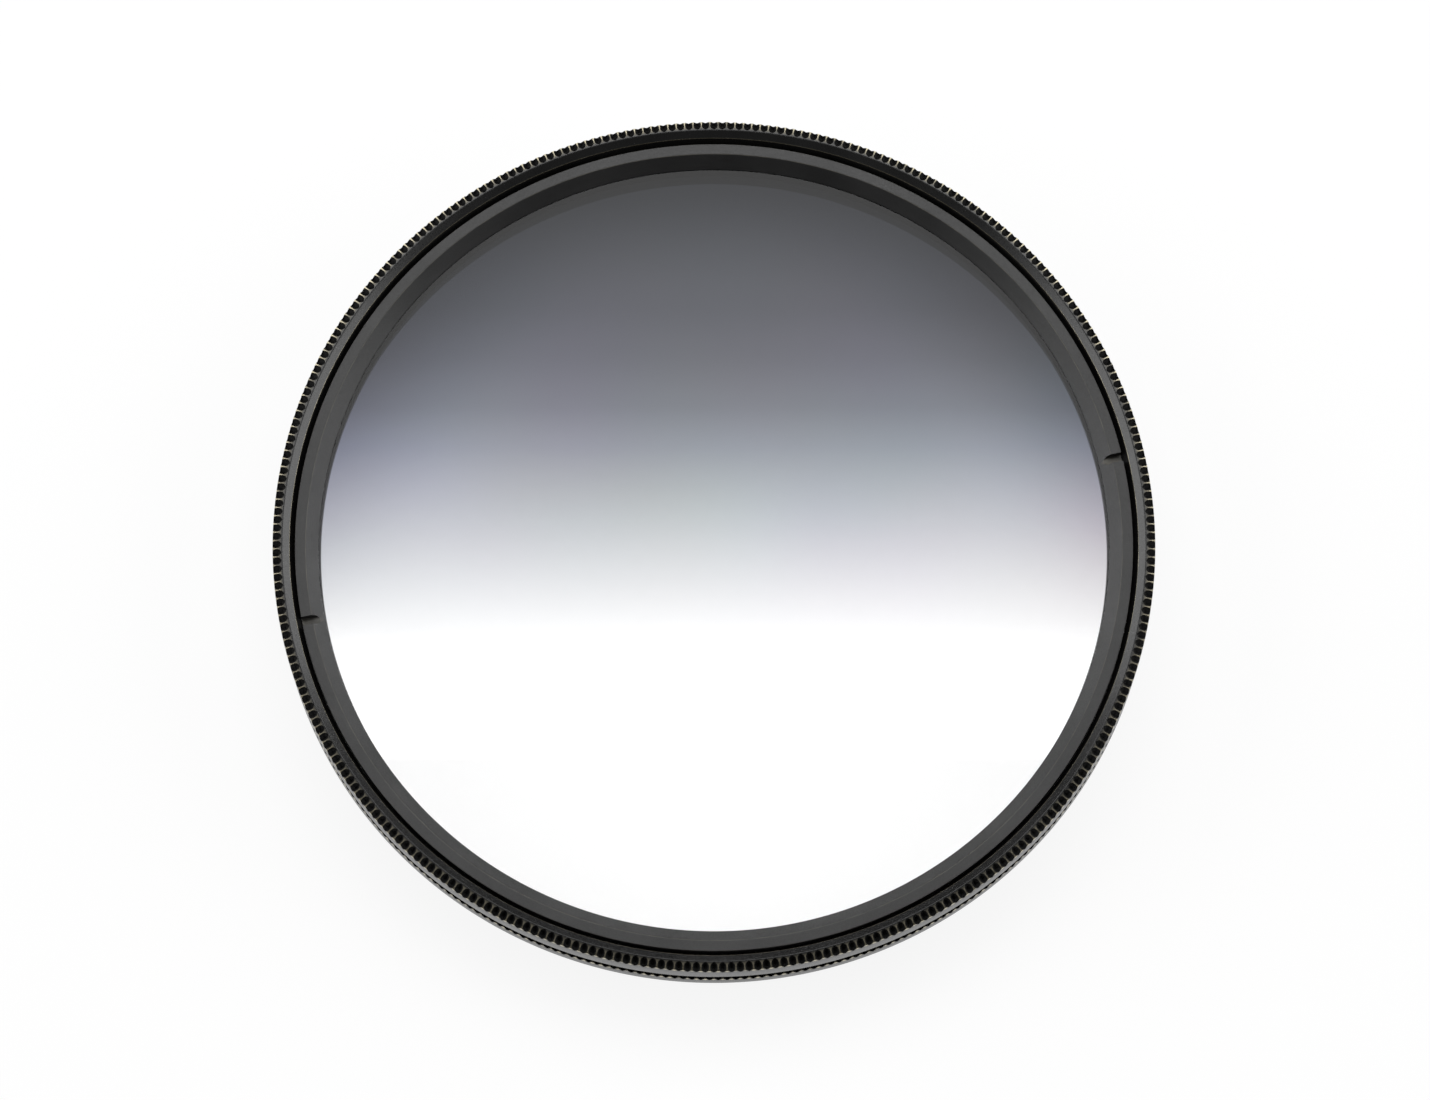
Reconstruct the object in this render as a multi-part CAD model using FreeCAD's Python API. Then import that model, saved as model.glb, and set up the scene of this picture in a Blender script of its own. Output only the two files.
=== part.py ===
"""Round graduated neutral density filter in a rotating screw-in mount.

The filter lies on the end of its male thread. The optical axis is +Z, the
front rim is at the top, and the origin is the centre of the thread's end face.
Two turned rings share one axis: the mount ring screws into the lens, and the
rotating ring turns on it, held by a sprung wire that lies half in each ring.
The rotating ring carries the glass, which a slotted ring clamps on its seat.
All lengths are in millimetres.
"""
import FreeCAD, Part
import math
import os

# Male thread that screws into the lens
thread_diameter = 77.0
thread_length = 3.6
thread_lead = 0.3
thread_wall = 1.6
runout_width = 0.6
runout_depth = 0.45

# Knurled grips of both rings
flange_width = 1.6
mount_grip_height = 1.85
rotating_grip_height = 2.75
parting_gap = 0.9
knurl_pitch = 0.787
knurl_reach = 0.75
knurl_depth = 0.45
knurl_inset = 0.05

# Front rim and the relief around the retaining ring
rim_width = 1.62
rim_lead_width = 0.68
rim_lead_height = 0.5
relief_width = 0.33
relief_depth = 1.7
relief_slope_height = 0.55

# Glass, its seat and its pocket
seat_thickness = 0.7
seat_reach = 0.1
glass_thickness = 2.0
glass_side_clearance = 0.1

# Retaining ring that clamps the glass
ring_width = 2.05
ring_height = 1.35
ring_recess = 0.85
ring_land_width = 0.98
ring_foot_lip = 0.1
ring_thread_clearance = 0.05
slot_width = 0.8
slot_length = 1.65
slot_depth = 0.95
slot_angle = 11.8

# Bearing between the rings
bearing_wall = 1.2
running_clearance = 0.1
thrust_clearance = 0.15

# Sprung wire in the bearing
wire_width = 0.6
wire_height = 0.5
wire_clearance = 0.06
wire_gap = 4.0

# Levels along the axis, from the thread's end up
flange_z = thread_length
mount_top_z = flange_z + mount_grip_height
rotating_bottom_z = mount_top_z + parting_gap
rim_z = rotating_bottom_z + rotating_grip_height
ring_top_z = rim_z - ring_recess
glass_front_z = ring_top_z - ring_height
glass_back_z = glass_front_z - glass_thickness
cell_bottom_z = glass_back_z - seat_thickness
thrust_z = cell_bottom_z - thrust_clearance
wire_z = (cell_bottom_z + mount_top_z) / 2

# Radii, from the thread out to the grip and from the grip inwards
thread_radius = thread_diameter / 2
grip_radius = thread_radius + flange_width
bearing_radius = grip_radius - bearing_wall
relief_radius = grip_radius - rim_width
cell_bore_radius = relief_radius - relief_width
ring_radius = cell_bore_radius - ring_thread_clearance
ring_foot_radius = ring_radius - ring_width
aperture_radius = ring_foot_radius - seat_reach
groove_half_height = wire_height / 2 + wire_clearance
groove_reach = wire_width / 2 + wire_clearance

AXIS = FreeCAD.Vector(0, 0, 1)
ORIGIN = FreeCAD.Vector(0, 0, 0)
FULL_TURN = 360


def turned(profile):
    """Solid of revolution of a closed outline given as (radius, height) points."""
    points = [FreeCAD.Vector(radius, 0, height) for radius, height in profile]
    outline = Part.makePolygon(points + points[:1])
    return Part.Face(outline).revolve(ORIGIN, AXIS, FULL_TURN)


def polar(radius, angle, height):
    """Point at an angle in radians around the axis."""
    return FreeCAD.Vector(radius * math.cos(angle), radius * math.sin(angle), height)


def flat_face(*corners):
    """Flat face with straight edges."""
    return Part.Face(Part.makePolygon(list(corners) + [corners[0]]))


def knurled_crown(top_z):
    """Toothed disc that tops a turned blank.

    V notches open outwards in its upper edge. A notch starts as a point on the
    top face and widens and deepens in proportion, until it meets the next one
    in a sharp tip at the outside.
    """
    count = round(2 * math.pi * grip_radius / knurl_pitch)
    step = 2 * math.pi / count
    tip_radius = grip_radius - knurl_inset
    starts = [polar(tip_radius - knurl_reach, i * step, top_z) for i in range(count)]
    feet = [polar(tip_radius, i * step, top_z - knurl_depth) for i in range(count)]
    tips = [polar(tip_radius, (i + 0.5) * step, top_z) for i in range(count)]
    rim = [point for pair in zip(starts, tips) for point in pair]
    faces = [flat_face(*rim), flat_face(*feet)]
    for i in range(count):
        following = (i + 1) % count
        faces.append(flat_face(starts[i], feet[i], tips[i]))
        faces.append(flat_face(starts[i], tips[i - 1], feet[i]))
        faces.append(flat_face(tips[i], feet[i], feet[following]))
    return Part.Solid(Part.Shell(faces))


def knurled_ring(outside, top_z, bore):
    """Turned blank with a knurled crown, bored out along its axis.

    The outside runs from the bottom face to the foot of the crown, and the bore
    from the bottom face to the top one.
    """
    foot_z = top_z - knurl_depth
    blank = turned([(0, outside[0][1])] + outside + [(grip_radius, foot_z), (0, foot_z)])
    hollow = turned([(0, bore[0][1])] + bore + [(0, top_z)])
    return blank.fuse(knurled_crown(top_z)).removeSplitter().cut(hollow)


def make_mount_ring():
    """Ring with the male thread, a knurled grip and the bearing bore."""
    bore_radius = thread_radius - thread_wall
    runout_radius = thread_radius - runout_depth
    groove_radius = bearing_radius + groove_reach
    outside = [
        (thread_radius - thread_lead, 0),
        (thread_radius, thread_lead),
        (thread_radius, flange_z - runout_width),
        (runout_radius, flange_z - runout_width),
        (runout_radius, flange_z),
        (grip_radius, flange_z),
    ]
    bore = [
        (bore_radius, 0),
        (bore_radius, thrust_z),
        (bearing_radius, thrust_z),
        (bearing_radius, wire_z - groove_half_height),
        (groove_radius, wire_z - groove_half_height),
        (groove_radius, wire_z + groove_half_height),
        (bearing_radius, wire_z + groove_half_height),
        (bearing_radius, mount_top_z),
    ]
    return knurled_ring(outside, mount_top_z, bore)


def make_rotating_ring():
    """Knurled front ring with the cell that holds the glass."""
    cell_radius = bearing_radius - running_clearance
    groove_radius = bearing_radius - groove_reach
    outside = [
        (cell_radius, cell_bottom_z),
        (cell_radius, wire_z - groove_half_height),
        (groove_radius, wire_z - groove_half_height),
        (groove_radius, wire_z + groove_half_height),
        (cell_radius, wire_z + groove_half_height),
        (cell_radius, rotating_bottom_z),
        (grip_radius, rotating_bottom_z),
    ]
    bore = [
        (aperture_radius, cell_bottom_z),
        (aperture_radius, glass_back_z),
        (cell_bore_radius, glass_back_z),
        (cell_bore_radius, rim_z - relief_depth),
        (relief_radius, rim_z - relief_depth + relief_slope_height),
        (relief_radius, rim_z - rim_lead_height),
        (relief_radius + rim_lead_width, rim_z),
    ]
    return knurled_ring(outside, rim_z, bore)


def make_graduated_glass():
    """Plane-parallel disc on the seat of the rotating ring."""
    radius = cell_bore_radius - glass_side_clearance
    return Part.makeCylinder(radius, glass_thickness, FreeCAD.Vector(0, 0, glass_back_z))


def make_retaining_ring():
    """Bevelled clamping ring with two milled spanner slots in its upper edge."""
    body = turned([
        (ring_foot_radius, glass_front_z),
        (ring_radius, glass_front_z),
        (ring_radius, ring_top_z),
        (ring_radius - ring_land_width, ring_top_z),
        (ring_foot_radius, glass_front_z + ring_foot_lip),
    ])
    slot_radius = slot_width / 2
    slot_end = ring_radius - slot_length + slot_radius
    slot_z = ring_top_z - slot_depth
    milled_end = Part.makeCylinder(slot_radius, ring_height, FreeCAD.Vector(slot_end, 0, slot_z))
    slot = Part.makeBox(
        ring_radius, slot_width, ring_height, FreeCAD.Vector(slot_end, -slot_radius, slot_z))
    slot = slot.fuse(milled_end).removeSplitter()
    for turn in (slot_angle, slot_angle + FULL_TURN / 2):
        body = body.cut(slot.rotated(ORIGIN, AXIS, turn))
    return body


def make_snap_ring():
    """Open ring of flat wire, half in the mount ring's groove and half in the cell's."""
    gap_angle = math.degrees(wire_gap / bearing_radius)
    inner = bearing_radius - wire_width / 2
    outer = bearing_radius + wire_width / 2
    low = wire_z - wire_height / 2
    high = wire_z + wire_height / 2
    section = [(inner, low), (outer, low), (outer, high), (inner, high)]
    face = flat_face(*[FreeCAD.Vector(radius, 0, height) for radius, height in section])
    ring = face.revolve(ORIGIN, AXIS, FULL_TURN - gap_angle)
    return ring.rotated(ORIGIN, AXIS, gap_angle / 2)


def main():
    os.makedirs("parts", exist_ok=True)
    pieces = {
        "mount_ring": make_mount_ring(),
        "rotating_ring": make_rotating_ring(),
        "graduated_glass": make_graduated_glass(),
        "retaining_ring": make_retaining_ring(),
        "snap_ring": make_snap_ring(),
    }
    for name, shape in pieces.items():
        solid = shape.Solids[0]
        solid.exportStep(f"parts/{name}.step")
        print(f"{name}: {len(shape.Solids)} solid, {solid.Volume:.1f} mm3, valid {solid.isValid()}")


main()
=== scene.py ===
# %% [markdown]
# # A round graduated filter
# A graduated neutral density filter darkens the sky and leaves the ground alone. This one is a
# glass disc in two turned black rings: the rear ring screws into a lens, the front ring turns on
# it. The exact solids are loaded first and stay as they are. The lesson then builds the finer
# pieces that are seen: knurled rings, a thread, a slotted clamp ring and the fading glass.

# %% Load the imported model
import math

import bmesh
import bpy
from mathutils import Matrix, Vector


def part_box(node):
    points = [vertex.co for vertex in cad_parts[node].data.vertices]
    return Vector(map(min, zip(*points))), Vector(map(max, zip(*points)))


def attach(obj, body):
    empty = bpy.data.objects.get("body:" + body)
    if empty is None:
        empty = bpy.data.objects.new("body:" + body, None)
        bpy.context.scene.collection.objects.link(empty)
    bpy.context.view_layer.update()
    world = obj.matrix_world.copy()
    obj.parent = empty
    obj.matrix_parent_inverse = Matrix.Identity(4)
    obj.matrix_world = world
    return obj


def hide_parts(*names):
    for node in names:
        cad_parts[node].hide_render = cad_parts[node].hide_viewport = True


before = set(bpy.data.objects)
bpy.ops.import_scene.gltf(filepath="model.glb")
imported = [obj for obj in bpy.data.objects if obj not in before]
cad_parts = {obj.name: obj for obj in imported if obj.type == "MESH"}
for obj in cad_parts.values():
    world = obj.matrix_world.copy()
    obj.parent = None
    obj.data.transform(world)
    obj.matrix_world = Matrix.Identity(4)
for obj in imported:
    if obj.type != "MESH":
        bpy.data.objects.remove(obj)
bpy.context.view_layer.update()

# %% [markdown]
# ## Sizes
# A drawing of a turned part gives radii and heights in millimetres, so the lesson does too, and
# `MM` turns them into Blender's metres. What the solids can tell is read from their boxes: the
# grip's radius, the heights of the rings and the size of the glass. The grooves inside can't be
# read from a box, so they are written down here.

# %% Read the sizes from the solids
MM = 0.001


def low_high(name):
    """Lowest and highest corner of a solid, in millimetres."""
    low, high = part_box(name)
    return low / MM, high / MM


front_low, front_high = low_high("rotating_ring")
rear_high = low_high("mount_ring")[1]
clamp_low, clamp_high = low_high("retaining_ring")
glass_low, glass_high = low_high("graduated_glass")
wire_low, wire_high = low_high("snap_ring")

GRIP_R = front_high.x
RIM_Z = front_high.z
REAR_TOP_Z = rear_high.z
CLAMP_R = clamp_high.x
CLAMP_TOP_Z = clamp_high.z
GLASS_R = glass_high.x
FRONT_UNDER_Z = 6.35
FLANGE_Z = 3.6
BEARING_R = 38.9
CELL_R = 38.8
CELL_BORE_R = 38.15
RELIEF_R = 38.54
CLAMP_FOOT_R = 36.05
APERTURE_R = 35.95
REAR_BORE_R = 36.9
GROOVE_DEPTH = 0.36
GROOVE_SIDE = 0.06
groove_low = wire_low.z - GROOVE_SIDE
groove_high = wire_high.z + GROOVE_SIDE
print(f"grip radius {GRIP_R:.2f} mm, rim at {RIM_Z:.2f} mm, glass radius {GLASS_R:.2f} mm")

# %% [markdown]
# ## Camera
# The photograph looks down steeply on the filter. A fit to its circles gives 74 degrees above the
# table and about 455 mm to the top of the clamp ring. A long lens keeps the circles nearly round.
# The camera looks straight at the clamp ring's centre, and a very small shift puts that centre on
# the pixel where it lies in the 1430 by 1100 frame.

# %% Place the camera
FRAME_WIDTH = 1430
FRAME_HEIGHT = 1100
FOCAL_PX = 5005
CENTRE_PX = (713.95, 538.46)
CAMERA_ELEVATION = math.radians(74.2)
CAMERA_DISTANCE = 455 * MM
SENSOR = 36
CLIP_START = 10 * MM

camera_data = bpy.data.cameras.new("camera")
camera_data.sensor_width = SENSOR
camera_data.lens = FOCAL_PX / FRAME_WIDTH * SENSOR
camera_data.shift_x = (FRAME_WIDTH / 2 - CENTRE_PX[0]) / FRAME_WIDTH
camera_data.shift_y = (CENTRE_PX[1] - FRAME_HEIGHT / 2) / FRAME_WIDTH
camera_data.clip_start = CLIP_START
camera = bpy.data.objects.new("camera", camera_data)
bpy.context.scene.collection.objects.link(camera)
towards_camera = Vector((0, -math.cos(CAMERA_ELEVATION), math.sin(CAMERA_ELEVATION)))
camera.location = Vector((0, 0, CLAMP_TOP_Z * MM)) + towards_camera * CAMERA_DISTANCE
camera.rotation_euler = (-towards_camera).to_track_quat("-Z", "Y").to_euler()
bpy.context.scene.camera = camera
print(f"lens {camera_data.lens:.1f} mm, camera at {[round(x, 3) for x in camera.location]}")

# %% [markdown]
# ## Nodes from Python
# A node tree is a list of nodes and links. One short helper makes a node, sets its options and
# fills its inputs: a plain value is typed into the socket, and another node's output is linked.

# %% A helper for nodes


def node(tree, kind, inputs=None, **options):
    """A new node. Inputs are named or numbered, and hold values or other nodes' outputs."""
    made = tree.nodes.new(kind)
    for name, value in options.items():
        setattr(made, name, value)
    for key, value in (inputs or {}).items():
        if isinstance(value, bpy.types.NodeSocket):
            tree.links.new(value, made.inputs[key])
        else:
            made.inputs[key].default_value = value
    return made


def maths(tree, operation, *values):
    """Output of a Math node."""
    return node(tree, "ShaderNodeMath", dict(enumerate(values)), operation=operation).outputs[0]


def group(name, kind, inputs, outputs):
    """A new node group, with its input and output nodes. Sockets are (name, type, default)."""
    tree = bpy.data.node_groups.new(name, kind)
    for label, socket_type, default in inputs:
        made = tree.interface.new_socket(label, in_out="INPUT", socket_type=socket_type)
        if default is not None:
            made.default_value = default
    for label, socket_type in outputs:
        tree.interface.new_socket(label, in_out="OUTPUT", socket_type=socket_type)
    return tree, tree.nodes.new("NodeGroupInput"), tree.nodes.new("NodeGroupOutput")


FLOAT = "NodeSocketFloat"
print("node helpers ready")

# %% [markdown]
# ## Floor
# The object lies on white paper without a visible edge. A large plain sheet gives that. Its paper
# is a pale diffuse surface, which takes the soft shadow, plus a glow that only the camera, glossy
# and transmission rays see: the page, the black rings and the glass then all show white paper,
# and the glow adds no light to the object.

# %% Make the floor
FLOOR_HALF = 2.0
FLOOR_GLOW = 0.88
FLOOR_COLOUR = (0.16, 0.16, 0.16, 1)

paper = bpy.data.materials.new("white_paper")
paper.use_nodes = True
tree = paper.node_tree
tree.nodes.clear()
path = node(tree, "ShaderNodeLightPath")
seen = maths(tree, "MAXIMUM", path.outputs["Is Camera Ray"], path.outputs["Is Glossy Ray"])
seen = maths(tree, "MAXIMUM", seen, path.outputs["Is Transmission Ray"])
glow = node(tree, "ShaderNodeEmission", {"Strength": maths(tree, "MULTIPLY", seen, FLOOR_GLOW)})
pale = node(tree, "ShaderNodeBsdfDiffuse", {"Color": FLOOR_COLOUR})
both = node(tree, "ShaderNodeAddShader", {0: glow.outputs[0], 1: pale.outputs[0]})
node(tree, "ShaderNodeOutputMaterial", {"Surface": both.outputs[0]})

floor_mesh = bpy.data.meshes.new("floor")
corners = [(-1, -1), (1, -1), (1, 1), (-1, 1)]
sheet = [(x * FLOOR_HALF, y * FLOOR_HALF, 0) for x, y in corners]
floor_mesh.from_pydata(sheet, [], [(0, 1, 2, 3)])
floor_mesh.materials.append(paper)
floor = bpy.data.objects.new("floor", floor_mesh)
bpy.context.scene.collection.objects.link(floor)
print("floor made")

# %% [markdown]
# ## Light
# Black satin metal shows little but what it reflects, so the lamps are shapes to be reflected.
# A large soft box above and behind the filter lights the flats and the dark side of the glass, two
# upright ones left and right light the sides of the rings, and the side towards the camera stays
# dark, which keeps the near notches black. An area lamp's power is its brightness times its area
# times pi, so each lamp is given by the brightness that it shows.

# %% Set the lamps


def soft_box(name, place, size, brightness):
    """Rectangular lamp of a given brightness that faces the origin."""
    data = bpy.data.lights.new(name, "AREA")
    data.shape = "RECTANGLE"
    data.size, data.size_y = size
    data.energy = brightness * size[0] * size[1] * math.pi
    lamp = bpy.data.objects.new(name, data)
    lamp.location = place
    lamp.rotation_euler = (Vector() - lamp.location).to_track_quat("-Z", "Y").to_euler()
    bpy.context.scene.collection.objects.link(lamp)


OVERHEAD_SIZE = (0.9, 0.52)
OVERHEAD_BRIGHTNESS = 2.4
SIDE_SIZE = (0.8, 0.5)
SIDE_BRIGHTNESS = 2.6
soft_box("overhead", (0, 0.4, 0.7), OVERHEAD_SIZE, OVERHEAD_BRIGHTNESS)
soft_box("left", (-0.7, 0.1, 0.27), SIDE_SIZE, SIDE_BRIGHTNESS)
soft_box("right", (0.7, 0.1, 0.27), SIDE_SIZE, SIDE_BRIGHTNESS)

WORLD_GREY = (0.05, 0.05, 0.05, 1)
world = bpy.data.worlds.new("studio")
world.use_nodes = True
world.node_tree.nodes["Background"].inputs["Color"].default_value = WORLD_GREY
bpy.context.scene.world = world
bpy.context.scene.view_settings.view_transform = "Standard"

# %% [markdown]
# ## Marks that the finishes share
# All three rings are turned on a lathe and dyed black, so they share what a lathe and hands leave:
# fine lines round the axis, cloudy patches where the dye took unevenly, and bright worn edges.
# Each is a shader group. The groups give out only values that change over the surface, and every
# material mixes them with its own numbers. The wear reads an attribute, `edge`, which the
# meshes carry on their rounded corners.

# %% Lathe lines
marks, marks_in, marks_out = group(
    "lathe_lines", "ShaderNodeTree",
    [("Lines per mm", FLOAT, 9.0)],
    [("Height", FLOAT)])
place = node(marks, "ShaderNodeTexCoord").outputs["Object"]
axes = node(marks, "ShaderNodeSeparateXYZ", {0: place}).outputs
flat = node(marks, "ShaderNodeCombineXYZ", {"X": axes["X"], "Y": axes["Y"]})
length = node(marks, "ShaderNodeVectorMath", {0: flat.outputs[0]}, operation="LENGTH")
section = node(marks, "ShaderNodeCombineXYZ", {"X": length.outputs["Value"], "Y": axes["Z"]})
per_metre = maths(marks, "DIVIDE", marks_in.outputs["Lines per mm"], MM)
lines = node(marks, "ShaderNodeTexNoise", {
    "Vector": section.outputs[0], "Scale": per_metre, "Detail": 2.0})
marks.links.new(lines.outputs["Fac"], marks_out.inputs["Height"])
print("group:", marks.name)

# %% Dye clouds
clouds, clouds_in, clouds_out = group(
    "dye_clouds", "ShaderNodeTree",
    [("Patch mm", FLOAT, 6.0)],
    [("Clouds", FLOAT), ("Grain", FLOAT)])
place = node(clouds, "ShaderNodeTexCoord").outputs["Object"]
patch = maths(clouds, "DIVIDE", 1 / MM, clouds_in.outputs["Patch mm"])
wide = node(clouds, "ShaderNodeTexNoise", {"Vector": place, "Scale": patch, "Detail": 3.0})
GRAIN_PER_METRE = 9000.0
fine = node(clouds, "ShaderNodeTexNoise", {
    "Vector": place, "Scale": GRAIN_PER_METRE, "Detail": 1.0})
clouds.links.new(wide.outputs["Fac"], clouds_out.inputs["Clouds"])
clouds.links.new(fine.outputs["Fac"], clouds_out.inputs["Grain"])
print("group:", clouds.name)

# %% Worn edges
wear, wear_in, wear_out = group(
    "worn_edges", "ShaderNodeTree",
    [("Amount", FLOAT, 0.5)],
    [("Mask", FLOAT)])
edge = node(wear, "ShaderNodeAttribute", attribute_name="edge").outputs["Fac"]
place = node(wear, "ShaderNodeTexCoord").outputs["Object"]
RUB_PER_METRE = 700.0
UNRUBBED, RUBBED = 0.25, 0.6
rub = node(wear, "ShaderNodeTexNoise", {"Vector": place, "Scale": RUB_PER_METRE, "Detail": 4.0})
spread = node(wear, "ShaderNodeMapRange", {
    "Value": rub.outputs["Fac"], "From Min": UNRUBBED, "From Max": RUBBED})
patchy = maths(wear, "MULTIPLY", spread.outputs[0], edge)
mask = node(wear, "ShaderNodeMath", {0: patchy, 1: wear_in.outputs["Amount"]},
            operation="MULTIPLY", use_clamp=True)
wear.links.new(mask.outputs[0], wear_out.inputs["Mask"])
print("group:", wear.name)

# %% [markdown]
# ## Black anodised aluminium
# Anodising grows a clear hard skin on the metal, and a dye turns it black. It reflects like a dark
# dielectric and not like bare metal: dull from above, and bright at a flat angle. So Metallic is 0
# except on the worn edges, the colour is nearly black and the index of refraction is that of
# the oxide skin.

# %% Make the black finishes
OXIDE_IOR = 1.62
DENSE_OXIDE_IOR = 1.68
GRAIN_SHARE = 0.6
NOISE_LOW, NOISE_HIGH = 0.3, 0.7
PALEST, DEEPEST = 1.4, 0.7
DULLEST, GLOSSIEST = 1.2, 0.85
MARK_HEIGHT = 0.02 * MM
BARE_METAL = (0.46, 0.42, 0.31, 1)


def anodised(name, black, roughness, ior, lines_per_mm, line_depth, wear_amount):
    """Dyed black finish with lathe lines, dye clouds and worn edges."""
    material = bpy.data.materials.new(name)
    material.use_nodes = True
    tree = material.node_tree
    shader = tree.nodes["Principled BSDF"]
    lines = node(tree, "ShaderNodeGroup", node_tree=marks)
    lines.inputs["Lines per mm"].default_value = lines_per_mm
    dye = node(tree, "ShaderNodeGroup", node_tree=clouds)
    worn = node(tree, "ShaderNodeGroup", node_tree=wear)
    worn.inputs["Amount"].default_value = wear_amount
    shade = node(tree, "ShaderNodeMapRange", {
        "Value": dye.outputs["Clouds"], "From Min": NOISE_LOW, "From Max": NOISE_HIGH,
        "To Min": black * DEEPEST, "To Max": black * PALEST})
    colour = node(tree, "ShaderNodeMix", {
        "Factor": worn.outputs["Mask"], "A": shade.outputs[0], "B": BARE_METAL}, data_type="RGBA")
    satin = node(tree, "ShaderNodeMapRange", {
        "Value": dye.outputs["Grain"], "From Min": NOISE_LOW, "From Max": NOISE_HIGH,
        "To Min": roughness * GLOSSIEST, "To Max": roughness * DULLEST})
    grain = maths(tree, "MULTIPLY_ADD", dye.outputs["Grain"], GRAIN_SHARE, lines.outputs["Height"])
    ridges = node(tree, "ShaderNodeBump", {
        "Height": grain, "Strength": line_depth, "Distance": MARK_HEIGHT})
    tree.links.new(colour.outputs["Result"], shader.inputs["Base Color"])
    tree.links.new(satin.outputs[0], shader.inputs["Roughness"])
    tree.links.new(worn.outputs["Mask"], shader.inputs["Metallic"])
    tree.links.new(ridges.outputs[0], shader.inputs["Normal"])
    shader.inputs["IOR"].default_value = ior
    return material


GRIP_FINISH = dict(
    black=0.014, roughness=0.3, ior=OXIDE_IOR,
    lines_per_mm=9.0, line_depth=0.25, wear_amount=2.0)
CLAMP_FINISH = dict(
    black=0.02, roughness=0.5, ior=DENSE_OXIDE_IOR,
    lines_per_mm=7.0, line_depth=0.35, wear_amount=1.0)
front_black = anodised("front_black", **GRIP_FINISH)
rear_black = anodised("rear_black", **GRIP_FINISH)
clamp_black = anodised("clamp_black", **CLAMP_FINISH)
print("black finishes:", front_black.name, rear_black.name, clamp_black.name)

# %% [markdown]
# ## Rounded outlines
# A ring is an outline turned round the axis. No turned corner is really sharp: the tool leaves a
# small round, and that is where metal catches the light. A Bevel modifier could round the mesh
# afterwards, but rounding the outline itself costs less and lets each corner have its own radius.
# One more point close to each end of a round keeps the flats flat under smooth shading, and the
# points on the round carry how worn the corner is.

# %% Round the corners of an outline
ROUND_STEPS = 3
HOLD = 0.04


def rounded(corners):
    """Outline points (radius, height, edge) from corners (radius, height, round, wear), in mm."""
    points = []
    for i, (r, z, size, worn) in enumerate(corners):
        if size == 0:
            points.append((r, z, 0.0))
            continue
        here = Vector((r, z))
        before = (Vector(corners[i - 1][:2]) - here).normalized()
        after = (Vector(corners[(i + 1) % len(corners)][:2]) - here).normalized()
        points.append((*(here + before * (size + HOLD)), 0.0))
        for k in range(ROUND_STEPS + 1):
            s = k / ROUND_STEPS
            bend = here + before * size * (1 - s) ** 2 + after * size * s ** 2
            points.append((*bend, worn if 0 < k < ROUND_STEPS else 0.0))
        points.append((*(here + after * (size + HOLD)), 0.0))
    return points


print("points on one round:", len(rounded([(0, 0, 0, 0), (1, 0, 0.1, 1), (1, 1, 0, 0)])) - 2)

# %% [markdown]
# ## One notch of the knurl
# The grip of both rings is a row of small notches, milled in the upper edge and open to the
# outside. A notch starts as a point on the top face, gets wider and deeper, and narrows a little
# at the outside. It is a V with steep sides, so it looks black, and two neighbours leave a thin
# crest that falls a little towards its tip, where fingers have worn the black off. Cutting
# hundreds would be slow and leave ragged faces, so only one slice of the ring is modelled: the
# outline across one notch's width, closed at the top by the notch. Its sides meet the next slice
# point for point. Each row of the notch gives a share of its reach, half its width as a share of
# the slice and its depth in mm.

# %% A notch's section
NOTCHES = 320
NOTCH_STEP = 2 * math.pi / NOTCHES
NOTCH_REACH = 0.8
NOTCH_ROWS = [
    (0.06, 0.34, 0.22),
    (0.24, 0.74, 0.5),
    (0.48, 0.88, 0.62),
    (0.82, 0.84, 0.52),
    (1.0, 0.68, 0.38),
]
CREST_ROUND = 0.03
WEAR_POWER = 1.2
LIP_DEPTH = 0.04
SHOULDER_DEPTH = 0.12
KNEE_WIDTH, KNEE_DEPTH = 0.4, 0.68
TIP_INSET = 0.05
CREST_FALL = 0.17
WALL_DROP = 0.6
FLAT_MARGIN = 0.015
FLAT_R = GRIP_R - TIP_INSET - NOTCH_REACH - FLAT_MARGIN


def notch_row(share, half, depth):
    """Half of a notch's section: (side, drop, edge) from the crest to the bottom of the V."""
    worn = share ** WEAR_POWER
    return [
        (1.0, 0.0, worn),
        (half + CREST_ROUND, 0.0, worn),
        (half, depth * LIP_DEPTH, worn),
        (half - CREST_ROUND, depth * SHOULDER_DEPTH, 0.0),
        (half * KNEE_WIDTH, depth * KNEE_DEPTH, 0.0),
        (0.0, depth, 0.0),
    ]


print("half a notch's section:", len(notch_row(*NOTCH_ROWS[0])), "points")

# %% Build a slice of a ring


def close_with_notch(bm, point, left, right, top_z):
    """Faces of one notch between the two sides of a slice."""
    tip_r = GRIP_R - TIP_INSET
    start = point(tip_r - NOTCH_REACH, 0, top_z, 0.0)
    rows = []
    for row in NOTCH_ROWS:
        half = notch_row(*row)
        across = [(-s, drop, edge) for s, drop, edge in half] + half[-2::-1]
        lean = TIP_INSET / WALL_DROP if row is NOTCH_ROWS[-1] else 0.0
        r = tip_r - NOTCH_REACH * (1 - row[0])
        crest_z = top_z - CREST_FALL * row[0]
        rows.append([
            point(r + drop * lean, s, crest_z - drop, edge) for s, drop, edge in across])
    for inner, outer in zip(rows, rows[1:]):
        for k in range(len(inner) - 1):
            bm.faces.new((inner[k], inner[k + 1], outer[k + 1], outer[k]))
    first, last = rows[0], rows[-1]
    middle = len(first) // 2
    for k in range(1, len(first) - 2):
        bm.faces.new((start, first[k + 1], first[k]))
    bm.faces.new((left[-1], right[-1], first[-1], first[-2], start, first[1], first[0]))
    bm.faces.new([left[0], *last[:middle + 1]])
    bm.faces.new([right[0], *last[middle:][::-1]])
    bm.faces.new((left[0], right[0], last[middle]))


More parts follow.
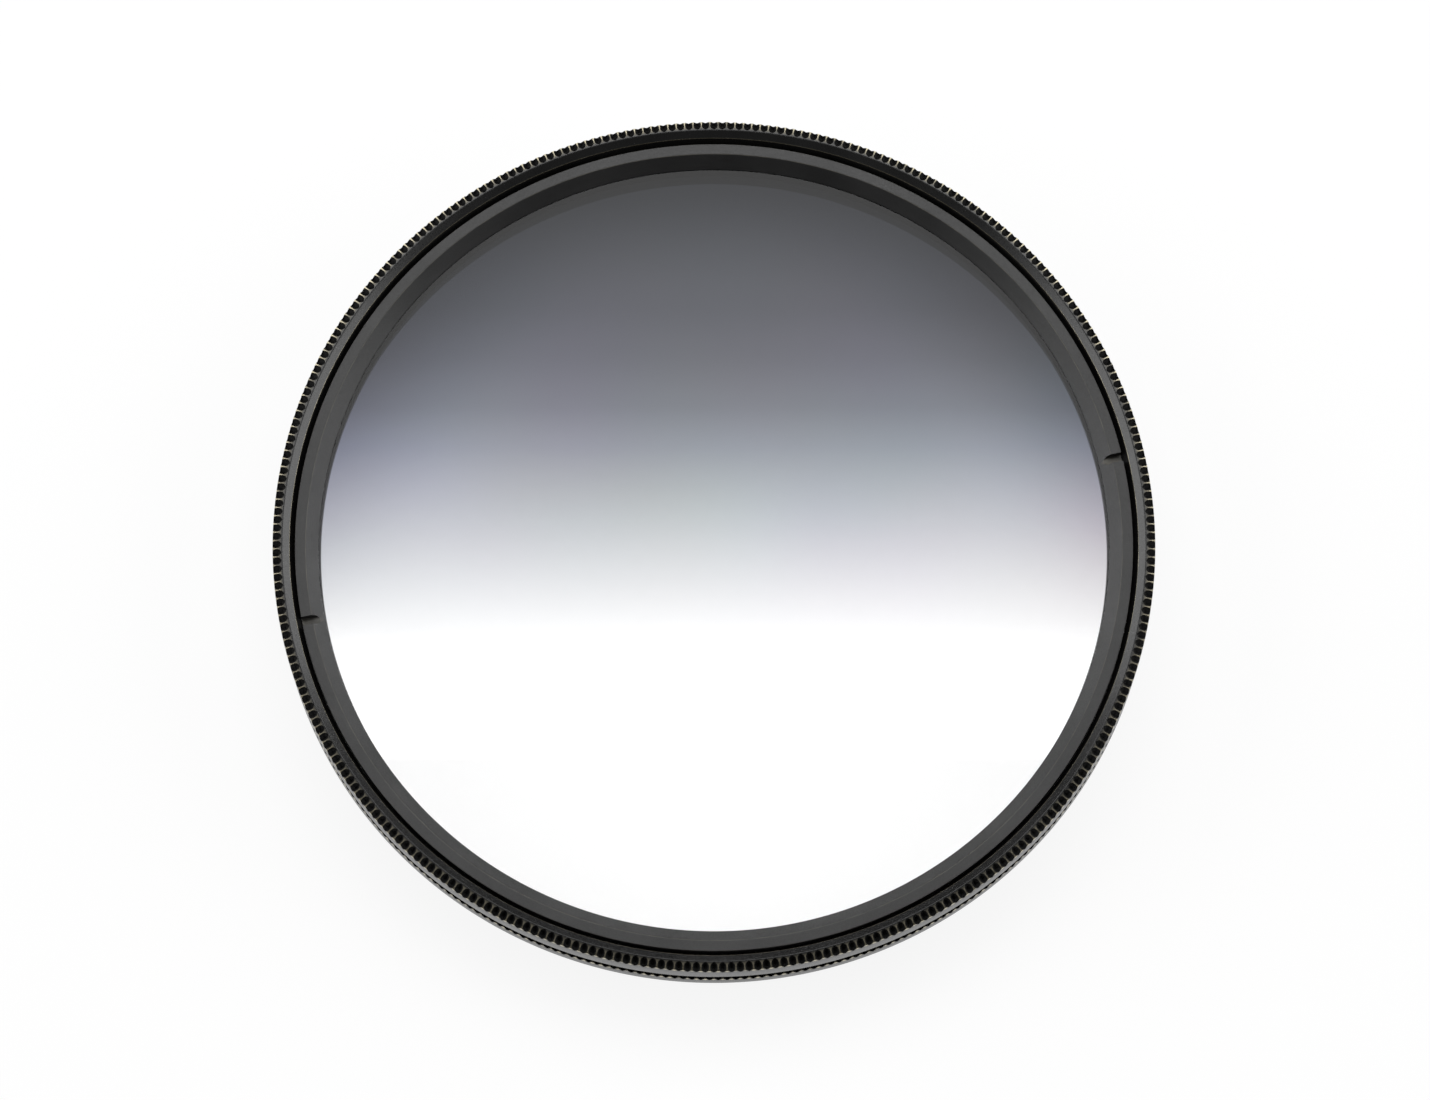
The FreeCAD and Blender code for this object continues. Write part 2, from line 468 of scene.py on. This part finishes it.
def ring_slice(name, outline, top_z=None):
    """Mesh of one slice. The outline is open where a notch closes it at the height top_z."""
    bm = bmesh.new()
    layer = bm.verts.layers.float.new("edge")

    def point(r, side, z, edge):
        turn = side * NOTCH_STEP / 2
        vert = bm.verts.new(Vector((r * math.cos(turn), r * math.sin(turn), z)) * MM)
        vert[layer] = edge
        return vert

    left = [point(r, -1, z, edge) for r, z, edge in outline]
    right = [point(r, 1, z, edge) for r, z, edge in outline]
    count = len(outline)
    for i in range(count if top_z is None else count - 1):
        k = (i + 1) % count
        if outline[i][0] + outline[k][0] > 0:
            bm.faces.new((left[i], right[i], right[k], left[k]))
    if top_z is not None:
        close_with_notch(bm, point, left, right, top_z)
    mesh = bpy.data.meshes.new(name)
    bm.to_mesh(mesh)
    bm.free()
    made = bpy.data.objects.new(name, mesh)
    bpy.context.scene.collection.objects.link(made)
    return made


print(f"one slice spans {math.degrees(NOTCH_STEP)} degrees")

# %% [markdown]
# ## Repeat a slice round the axis
# An Array modifier with an offset object could turn the slices, but it needs a helper object and
# guesses at the closing seam. In Geometry Nodes the rule is plain: as many points as slices, all
# on the axis, each carrying the slice turned by its share of a full turn. Realize Instances makes
# the copies real, Merge by Distance sews them together, and Set Material gives them their finish.

# %% The repeating tree
SEW_DISTANCE = 0.002 * MM

turning, turn_in, turn_out = group(
    "repeat_round_axis", "GeometryNodeTree",
    [("Geometry", "NodeSocketGeometry", None), ("Count", "NodeSocketInt", NOTCHES),
     ("Start Angle", FLOAT, 0.0), ("Sew Distance", FLOAT, SEW_DISTANCE),
     ("Material", "NodeSocketMaterial", None)],
    [("Geometry", "NodeSocketGeometry")])
places = node(turning, "GeometryNodePoints", {"Count": turn_in.outputs["Count"]})
number = node(turning, "GeometryNodeInputIndex").outputs[0]
share = maths(turning, "DIVIDE", number, turn_in.outputs["Count"])
turned = maths(turning, "MULTIPLY", share, 2 * math.pi)
angle = maths(turning, "ADD", turned, turn_in.outputs["Start Angle"])
about_axis = node(turning, "ShaderNodeCombineXYZ", {"Z": angle}).outputs[0]
copies = node(turning, "GeometryNodeInstanceOnPoints", {
    "Points": places.outputs[0], "Instance": turn_in.outputs["Geometry"], "Rotation": about_axis})
real = node(turning, "GeometryNodeRealizeInstances", {"Geometry": copies.outputs[0]})
sewn = node(turning, "GeometryNodeMergeByDistance", {
    "Geometry": real.outputs[0], "Distance": turn_in.outputs["Sew Distance"]})
dyed = node(turning, "GeometryNodeSetMaterial", {
    "Geometry": sewn.outputs[0], "Material": turn_in.outputs["Material"]})
turning.links.new(dyed.outputs[0], turn_out.inputs["Geometry"])
print("tree:", turning.name, "with", len(turning.nodes), "nodes")

# %% [markdown]
# ## From a modifier to a plain mesh
# The library keeps plain meshes. A modifier's inputs are set by their identifiers before Blender
# first works the object out. The result is copied to a new mesh, the modifier goes, and the faces
# are turned outwards and shaded smooth, with sharp edges where they meet at more than a set angle.

# %% Helpers that finish a piece
SHARP_ANGLE = math.radians(38)


def settle(piece):
    """Replace an object's mesh by what its modifiers make of it, and remove them."""
    name = piece.name
    shape = bpy.data.meshes.new_from_object(
        piece.evaluated_get(bpy.context.evaluated_depsgraph_get()))
    bpy.data.objects.remove(piece)
    shape.name = name
    made = bpy.data.objects.new(name, shape)
    bpy.context.scene.collection.objects.link(made)
    return made


def grow(piece, tree, **values):
    """Run a Geometry Nodes tree on an object and keep the result as its own plain mesh."""
    modifier = piece.modifiers.new(tree.name, "NODES")
    modifier.node_group = tree
    for socket in tree.interface.items_tree:
        key = socket.name.replace(" ", "_").lower()
        if socket.in_out == "INPUT" and key in values:
            modifier[socket.identifier] = values[key]
    made = settle(piece)
    made.data.materials.clear()
    made.data.materials.append(values["material"])
    made.data.polygons.foreach_set("material_index", [0] * len(made.data.polygons))
    return made


def smooth(piece):
    """Turn the faces outwards and shade them smooth up to the sharp angle."""
    bm = bmesh.new()
    bm.from_mesh(piece.data)
    bmesh.ops.recalc_face_normals(bm, faces=bm.faces)
    open_edges = sum(not e.is_manifold for e in bm.edges)
    bm.to_mesh(piece.data)
    bm.free()
    piece.data.shade_smooth()
    piece.data.set_sharp_from_angle(angle=SHARP_ANGLE)
    piece.data.calc_loop_triangles()
    print(f"{piece.name}: {len(piece.data.loop_triangles)} triangles, {open_edges} open edges")


def hand_over(piece, body, slot, *nodes):
    """Let a finished piece ride on its body and stand for its solids."""
    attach(piece, body)
    if nodes:
        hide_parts(*nodes)


print("helpers ready")

# %% [markdown]
# ## Front ring
# The front ring carries the glass and is the one that fingers turn. From the outside in: a plain
# wall under the knurl, a narrow flat rim, a sloping lead for the thread of a second filter or a
# cap, a deep relief round the clamp ring, the bore for the glass and the ledge that it sits on.
# Behind the grip, the cell goes down into the rear ring, with a groove for the snap ring.

# %% Make the front ring
RELIEF_DEPTH = 1.7
RELIEF_SLOPE = 0.55
LEAD_WIDTH = 0.62
LEAD_HEIGHT = 0.5
relief_foot_z = RIM_Z - RELIEF_DEPTH
front_outline = rounded([
    (GRIP_R, RIM_Z - WALL_DROP, 0, 0),
    (GRIP_R, FRONT_UNDER_Z, 0.22, 0.2),
    (CELL_R, FRONT_UNDER_Z, 0, 0),
    (CELL_R, groove_high, 0.04, 0),
    (BEARING_R - GROOVE_DEPTH, groove_high, 0, 0),
    (BEARING_R - GROOVE_DEPTH, groove_low, 0, 0),
    (CELL_R, groove_low, 0.04, 0),
    (CELL_R, front_low.z, 0.15, 0),
    (APERTURE_R, front_low.z, 0.08, 0),
    (APERTURE_R, glass_low.z, 0.06, 0),
    (CELL_BORE_R, glass_low.z, 0, 0),
    (CELL_BORE_R, relief_foot_z, 0, 0),
    (RELIEF_R, relief_foot_z + RELIEF_SLOPE, 0, 0),
    (RELIEF_R, RIM_Z - LEAD_HEIGHT, 0.06, 0.75),
    (RELIEF_R + LEAD_WIDTH, RIM_Z, 0.03, 0),
    (FLAT_R - HOLD, RIM_Z, 0, 0),
    (FLAT_R, RIM_Z, 0, 0),
])
front_ring = grow(ring_slice("front_ring", front_outline, RIM_Z), turning, material=front_black)
smooth(front_ring)
hand_over(front_ring, "front", "ring_black", "rotating_ring")

# %% [markdown]
# ## Rear ring and its thread
# The rear ring has the same knurl, half a notch out of step, and the male thread for the lens. The
# ring itself is turned down to the root of the thread. A Screw modifier could wind the thread, but
# it keeps one section all the way. Here the thread is one ridge on a spiral path: its section is
# swept along and gets thinner at both ends, where the tool runs out.

# %% Make the rear ring
THREAD_ROOT_R = 38.06
THREAD_LEAD = 0.3
RUNOUT_R = 37.98
RUNOUT_Z = 3.0
THRUST_Z = 4.05
rear_outline = rounded([
    (GRIP_R, REAR_TOP_Z - WALL_DROP, 0, 0),
    (GRIP_R, FLANGE_Z, 0.06, 0.2),
    (RUNOUT_R, FLANGE_Z, 0, 0),
    (RUNOUT_R, RUNOUT_Z, 0, 0),
    (THREAD_ROOT_R, RUNOUT_Z, 0, 0),
    (THREAD_ROOT_R, THREAD_LEAD, 0.05, 0.2),
    (THREAD_ROOT_R - THREAD_LEAD, 0, 0.05, 0.5),
    (REAR_BORE_R, 0, 0.1, 0.3),
    (REAR_BORE_R, THRUST_Z, 0.08, 0),
    (BEARING_R, THRUST_Z, 0, 0),
    (BEARING_R, groove_low, 0.04, 0),
    (BEARING_R + GROOVE_DEPTH, groove_low, 0, 0),
    (BEARING_R + GROOVE_DEPTH, groove_high, 0, 0),
    (BEARING_R, groove_high, 0.04, 0),
    (BEARING_R, REAR_TOP_Z, 0.08, 0),
    (FLAT_R - HOLD, REAR_TOP_Z, 0, 0),
    (FLAT_R, REAR_TOP_Z, 0, 0),
])
rear_ring = grow(
    ring_slice("rear_ring", rear_outline, REAR_TOP_Z), turning,
    start_angle=NOTCH_STEP / 2, material=rear_black)
smooth(rear_ring)
hand_over(rear_ring, "mount", "mount_black", "mount_ring")

# %% The thread's tree
STEPS_PER_TURN = 160
RUN_OUT = 0.06
THINNEST = 0.05

winding, wind_in, wind_out = group(
    "wound_thread", "GeometryNodeTree",
    [("Geometry", "NodeSocketGeometry", None), ("Root Radius", FLOAT, THREAD_ROOT_R * MM),
     ("Pitch", FLOAT, 0.75 * MM), ("Turns", FLOAT, 3.0), ("Start Height", FLOAT, 0.5 * MM),
     ("Run Out", FLOAT, RUN_OUT), ("Material", "NodeSocketMaterial", None)],
    [("Geometry", "NodeSocketGeometry")])
rise = maths(winding, "MULTIPLY", wind_in.outputs["Pitch"], wind_in.outputs["Turns"])
spiral = node(winding, "GeometryNodeCurveSpiral", {
    "Resolution": STEPS_PER_TURN, "Rotations": wind_in.outputs["Turns"], "Height": rise,
    "Start Radius": wind_in.outputs["Root Radius"], "End Radius": wind_in.outputs["Root Radius"]})
lift = node(winding, "ShaderNodeCombineXYZ", {"Z": wind_in.outputs["Start Height"]}).outputs[0]
raised = node(winding, "GeometryNodeTransform", {
    "Geometry": spiral.outputs[0], "Translation": lift})
upright = node(winding, "GeometryNodeSetCurveNormal", {"Curve": raised.outputs[0]}, mode="Z_UP")
along = node(winding, "GeometryNodeSplineParameter").outputs["Factor"]
from_start = maths(winding, "DIVIDE", along, wind_in.outputs["Run Out"])
left_over = maths(winding, "SUBTRACT", 1.0, along)
from_end = maths(winding, "DIVIDE", left_over, wind_in.outputs["Run Out"])
ends = maths(winding, "MINIMUM", from_start, from_end)
fullness = node(winding, "ShaderNodeClamp", {"Value": ends, "Min": THINNEST}).outputs[0]
swept = node(winding, "GeometryNodeCurveToMesh", {
    "Curve": upright.outputs[0], "Profile Curve": wind_in.outputs["Geometry"],
    "Scale": fullness, "Fill Caps": True})
real = node(winding, "GeometryNodeRealizeInstances", {"Geometry": swept.outputs[0]})
dyed = node(winding, "GeometryNodeSetMaterial", {
    "Geometry": real.outputs[0], "Material": wind_in.outputs["Material"]})
winding.links.new(dyed.outputs[0], wind_out.inputs["Geometry"])
print("tree:", winding.name, "with", len(winding.nodes), "nodes")

# %% Wind the thread
THREAD_R = 38.5
THREAD_PITCH = 0.75
THREAD_TURNS = 3.2
THREAD_START = 0.42
RIDGE_FOOT = 0.33
RIDGE_CREST = 0.06
RIDGE_SUNK = 0.03
ridge_height = THREAD_R - THREAD_ROOT_R
section_points = [
    (-RIDGE_SUNK, -RIDGE_FOOT), (ridge_height, -RIDGE_CREST),
    (ridge_height, RIDGE_CREST), (-RIDGE_SUNK, RIDGE_FOOT)]
ridge_curve = bpy.data.curves.new("lens_thread", "CURVE")
spline = ridge_curve.splines.new("POLY")
spline.points.add(len(section_points) - 1)
for spot, (out, up) in zip(spline.points, section_points):
    spot.co = (-out * MM, up * MM, 0, 1)
spline.use_cyclic_u = True
ridge = bpy.data.objects.new("lens_thread", ridge_curve)
bpy.context.scene.collection.objects.link(ridge)
thread = grow(
    ridge, winding, root_radius=THREAD_ROOT_R * MM, pitch=THREAD_PITCH * MM, turns=THREAD_TURNS,
    start_height=THREAD_START * MM, material=rear_black)
smooth(thread)
reach = max(math.hypot(v.co.x, v.co.y) for v in thread.data.vertices) / MM
print(f"thread reaches radius {reach:.2f} mm")
hand_over(thread, "mount", "mount_black")

# %% [markdown]
# ## Clamp ring
# The clamp ring screws down on the glass. It has a flat top, a wide inner slope that keeps stray
# light off the glass and two slots for a spanner. The ring is repeated from a plain slice, the
# slots are taken out with a Boolean, whose cutter has a round inner end like the milling tool, and
# a small Bevel breaks the slots' edges, the only square ones on the ring. The slots' floors get
# some bare metal, partly the spanner's wear and partly painted light that lifts them out of shade.

# %% Make the clamp ring
CLAMP_LAND = 0.98
CLAMP_LIP = 0.1
SLOT_WIDTH = 0.8
SLOT_LENGTH = 1.65
SLOT_DEPTH = 0.75
SLOT_TURNS = (math.radians(11.8), math.radians(191.8))
SLOT_EDGE_BREAK = 0.03
SQUARE_EDGE = math.radians(60)
SLOT_OVERCUT = 0.6
SLOT_WEAR_AND_LIGHT = 0.14
END_STEPS = 12

clamp_outline = rounded([
    (CLAMP_FOOT_R, clamp_low.z, 0, 0),
    (CLAMP_R, clamp_low.z, 0, 0),
    (CLAMP_R, CLAMP_TOP_Z, 0.04, 0.1),
    (CLAMP_R - CLAMP_LAND, CLAMP_TOP_Z, 0.05, 0.16),
    (CLAMP_FOOT_R, clamp_low.z + CLAMP_LIP, 0, 0),
])
clamp_ring = grow(ring_slice("clamp_ring", clamp_outline), turning, material=clamp_black)
smooth(clamp_ring)

# %% Shape the cutters for the slots
slot_floor_z = (CLAMP_TOP_Z - SLOT_DEPTH) * MM


def slot_cutter(turn):
    """Upright milling shape with a round inner end, at an angle round the axis."""
    half = SLOT_WIDTH / 2
    centre = CLAMP_R - SLOT_LENGTH + half
    plan = [(CLAMP_R + SLOT_OVERCUT, -half), (CLAMP_R + SLOT_OVERCUT, half)]
    for k in range(END_STEPS + 1):
        bend = math.pi / 2 + math.pi * k / END_STEPS
        plan.append((centre + half * math.cos(bend), half * math.sin(bend)))
    bm = bmesh.new()
    base = bm.faces.new([bm.verts.new((x * MM, y * MM, slot_floor_z)) for x, y in plan])
    lifted = bmesh.ops.extrude_face_region(bm, geom=[base])["geom"]
    raised = [v for v in lifted if isinstance(v, bmesh.types.BMVert)]
    bmesh.ops.translate(bm, verts=raised, vec=(0, 0, (SLOT_DEPTH + SLOT_OVERCUT) * MM))
    bmesh.ops.recalc_face_normals(bm, faces=bm.faces)
    bmesh.ops.rotate(bm, verts=bm.verts, matrix=Vector((1, 0, 0)).rotation_difference(
        Vector((math.cos(turn), math.sin(turn), 0))).to_matrix())
    mesh = bpy.data.meshes.new("cutter")
    bm.to_mesh(mesh)
    bm.free()
    made = bpy.data.objects.new("cutter", mesh)
    bpy.context.scene.collection.objects.link(made)
    return made


cutters = [slot_cutter(turn) for turn in SLOT_TURNS]
print("cutters:", len(cutters))

# %% Cut the slots and give their floors wear and painted light
for cutter in cutters:
    cut = clamp_ring.modifiers.new("slot", "BOOLEAN")
    cut.object = cutter
    cut.solver = "EXACT"
soften = clamp_ring.modifiers.new("edges", "BEVEL")
soften.width = SLOT_EDGE_BREAK * MM
soften.segments = 1
soften.limit_method = "ANGLE"
soften.angle_limit = SQUARE_EDGE
clamp_ring = settle(clamp_ring)
for cutter in cutters:
    bpy.data.objects.remove(cutter)
edge_values = clamp_ring.data.attributes["edge"].data
points = clamp_ring.data.vertices
# Points on the slots' floors get bare metal: partly the spanner's wear, partly painted light that
# lifts the floors out of the slots' shade.
rubbed_and_lit = [v.index for v in points if abs(v.co.z - slot_floor_z) < SEW_DISTANCE]
for index in rubbed_and_lit:
    edge_values[index].value = SLOT_WEAR_AND_LIGHT
print(len(rubbed_and_lit), "points on the slots' floors")
smooth(clamp_ring)
hand_over(clamp_ring, "front", "retainer_black", "retaining_ring")

# %% [markdown]
# ## Glass
# The glass is one polished disc. One half is clear, and the dark coating fades in towards the far
# side. A coating is a colour that light passes, so the fade is the Base Color of a glass shader: a
# ramp along Y, given as the share of light that passes at some places in mm. It turns bluish where
# dark, with faint coloured clouds: partly the coating's own colour, partly painted reflection of
# its coloured sheen. Towards the rim the colour is raised to a power: painted shade of the ring.
# Thin layers on both faces take most of the reflection away, so the index of refraction is lower.
# Lamps can't see through a glass shader, so for their rays a Transparent shader of the same colour
# stands in, and the paper under the clear half stays bright.

# %% The glass's fade
COATED_IOR = 1.37
FADE = [
    (-9.6, 1.0),
    (1.8, 0.58),
    (9.3, 0.318),
    (13.1, 0.21),
    (17.8, 0.142),
    (22.5, 0.102),
    (34.0, 0.06),
]
# Bluish where dark: partly the coating's own colour, partly painted reflection of its coloured
# sheen.
TINT_AND_REFLECTED_HUE = (0.9, 0.96, 1.14)
FULL_TINT_AT = 0.3
RIM_SHADE_FROM = 24.0
RIM_SHADE_BY = 0.55
HUE_PATCHES_PER_METRE = 45.0
HUE_SHARE = 0.1

fade_glass_look = bpy.data.materials.new("fading_glass")
fade_glass_look.use_nodes = True
tree = fade_glass_look.node_tree
shader = tree.nodes["Principled BSDF"]
place = node(tree, "ShaderNodeTexCoord").outputs["Object"]
across = node(tree, "ShaderNodeSeparateXYZ", {0: place}).outputs["Y"]
share = node(tree, "ShaderNodeMapRange", {
    "Value": across, "From Min": FADE[0][0] * MM, "From Max": FADE[-1][0] * MM}).outputs[0]
ramp = node(tree, "ShaderNodeValToRGB", {"Fac": share})
ramp.color_ramp.interpolation = "LINEAR"
stops = ramp.color_ramp.elements
while len(stops) < len(FADE):
    stops.new(0.5)
for stop, (height, passed) in zip(stops, FADE):
    stop.position = (height - FADE[0][0]) / (FADE[-1][0] - FADE[0][0])
    deep = min(1, (1 - passed) / (1 - FULL_TINT_AT)) ** 2
    stop.color = [passed * (1 + deep * (tone - 1)) for tone in TINT_AND_REFLECTED_HUE] + [1]
# Painted shade: towards the rim the colour is raised to a power, so the glass is darker there,
# standing for the ring's shade on the paper below.
radius = node(tree, "ShaderNodeVectorMath", {0: place}, operation="LENGTH").outputs["Value"]
rim = node(tree, "ShaderNodeMapRange", {
    "Value": radius, "From Min": RIM_SHADE_FROM * MM, "From Max": GLASS_R * MM}).outputs[0]
rim_shade_power = maths(tree, "MULTIPLY_ADD", maths(tree, "POWER", rim, 2.0), RIM_SHADE_BY, 1.0)
rim_shaded = node(tree, "ShaderNodeGamma", {"Color": ramp.outputs["Color"], "Gamma": rim_shade_power})
# Faint coloured clouds: partly the coating's own colour, partly painted reflection of its coloured
# sheen.
tint = node(tree, "ShaderNodeTexNoise", {
    "Vector": place, "Scale": HUE_PATCHES_PER_METRE, "Detail": 1.0})
hue = node(tree, "ShaderNodeMix", {
    "Factor": HUE_SHARE, "A": rim_shaded.outputs["Color"], "B": tint.outputs["Color"]},
    data_type="RGBA", blend_type="OVERLAY").outputs["Result"]
tree.links.new(hue, shader.inputs["Base Color"])
shader.inputs["Roughness"].default_value = 0.0
shader.inputs["IOR"].default_value = COATED_IOR
shader.inputs["Transmission Weight"].default_value = 1.0
through = node(tree, "ShaderNodeBsdfTransparent", {"Color": hue})
path = node(tree, "ShaderNodeLightPath")
lets_light = node(tree, "ShaderNodeMixShader", {
    0: path.outputs["Is Shadow Ray"], 1: shader.outputs[0], 2: through.outputs[0]})
tree.links.new(lets_light.outputs[0], tree.nodes["Material Output"].inputs["Surface"])
print("fade from", FADE[0][0], "to", FADE[-1][0], "mm")

# %% Make the glass
GLASS_EDGE = 0.15
glass_outline = rounded([
    (0, glass_low.z, 0, 0),
    (GLASS_R, glass_low.z, GLASS_EDGE, 0),
    (GLASS_R, glass_high.z, GLASS_EDGE, 0),
    (0, glass_high.z, 0, 0),
])
glass_slice = ring_slice("fade_glass", glass_outline)
fade_glass = grow(glass_slice, turning, material=fade_glass_look)
smooth(fade_glass)
hand_over(fade_glass, "front", "graduated_glass", "graduated_glass")

# %% [markdown]
# ## Snap ring
# The spring wire lies between the rings, half in the groove of each, where no view shows it. Its
# solid is already right, so it stays and only gets its finish: drawn steel, with fine lines along
# the wire.

# %% Finish the snap ring
WIRE_LINES_PER_MM = 14.0
WIRE_LINE_DEPTH = 0.3
WIRE_GREY = (0.42, 0.58)
WIRE_ROUGHNESS = (0.28, 0.42)

steel = bpy.data.materials.new("drawn_steel")
steel.use_nodes = True
tree = steel.node_tree
shader = tree.nodes["Principled BSDF"]
drawn = node(tree, "ShaderNodeGroup", node_tree=marks)
drawn.inputs["Lines per mm"].default_value = WIRE_LINES_PER_MM
patina = node(tree, "ShaderNodeGroup", node_tree=clouds)
grey = node(tree, "ShaderNodeMapRange", {
    "Value": patina.outputs["Clouds"], "To Min": WIRE_GREY[0], "To Max": WIRE_GREY[1]})
dull = node(tree, "ShaderNodeMapRange", {
    "Value": patina.outputs["Grain"], "To Min": WIRE_ROUGHNESS[0], "To Max": WIRE_ROUGHNESS[1]})
ridges = node(tree, "ShaderNodeBump", {
    "Height": drawn.outputs["Height"], "Strength": WIRE_LINE_DEPTH, "Distance": MARK_HEIGHT})
tree.links.new(grey.outputs[0], shader.inputs["Base Color"])
tree.links.new(dull.outputs[0], shader.inputs["Roughness"])
tree.links.new(ridges.outputs[0], shader.inputs["Normal"])
shader.inputs["Metallic"].default_value = 1.0
wire_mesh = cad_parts["snap_ring"].data
wire_mesh.materials.clear()
wire_mesh.materials.append(steel)
print("snap ring:", [m.name for m in wire_mesh.materials])
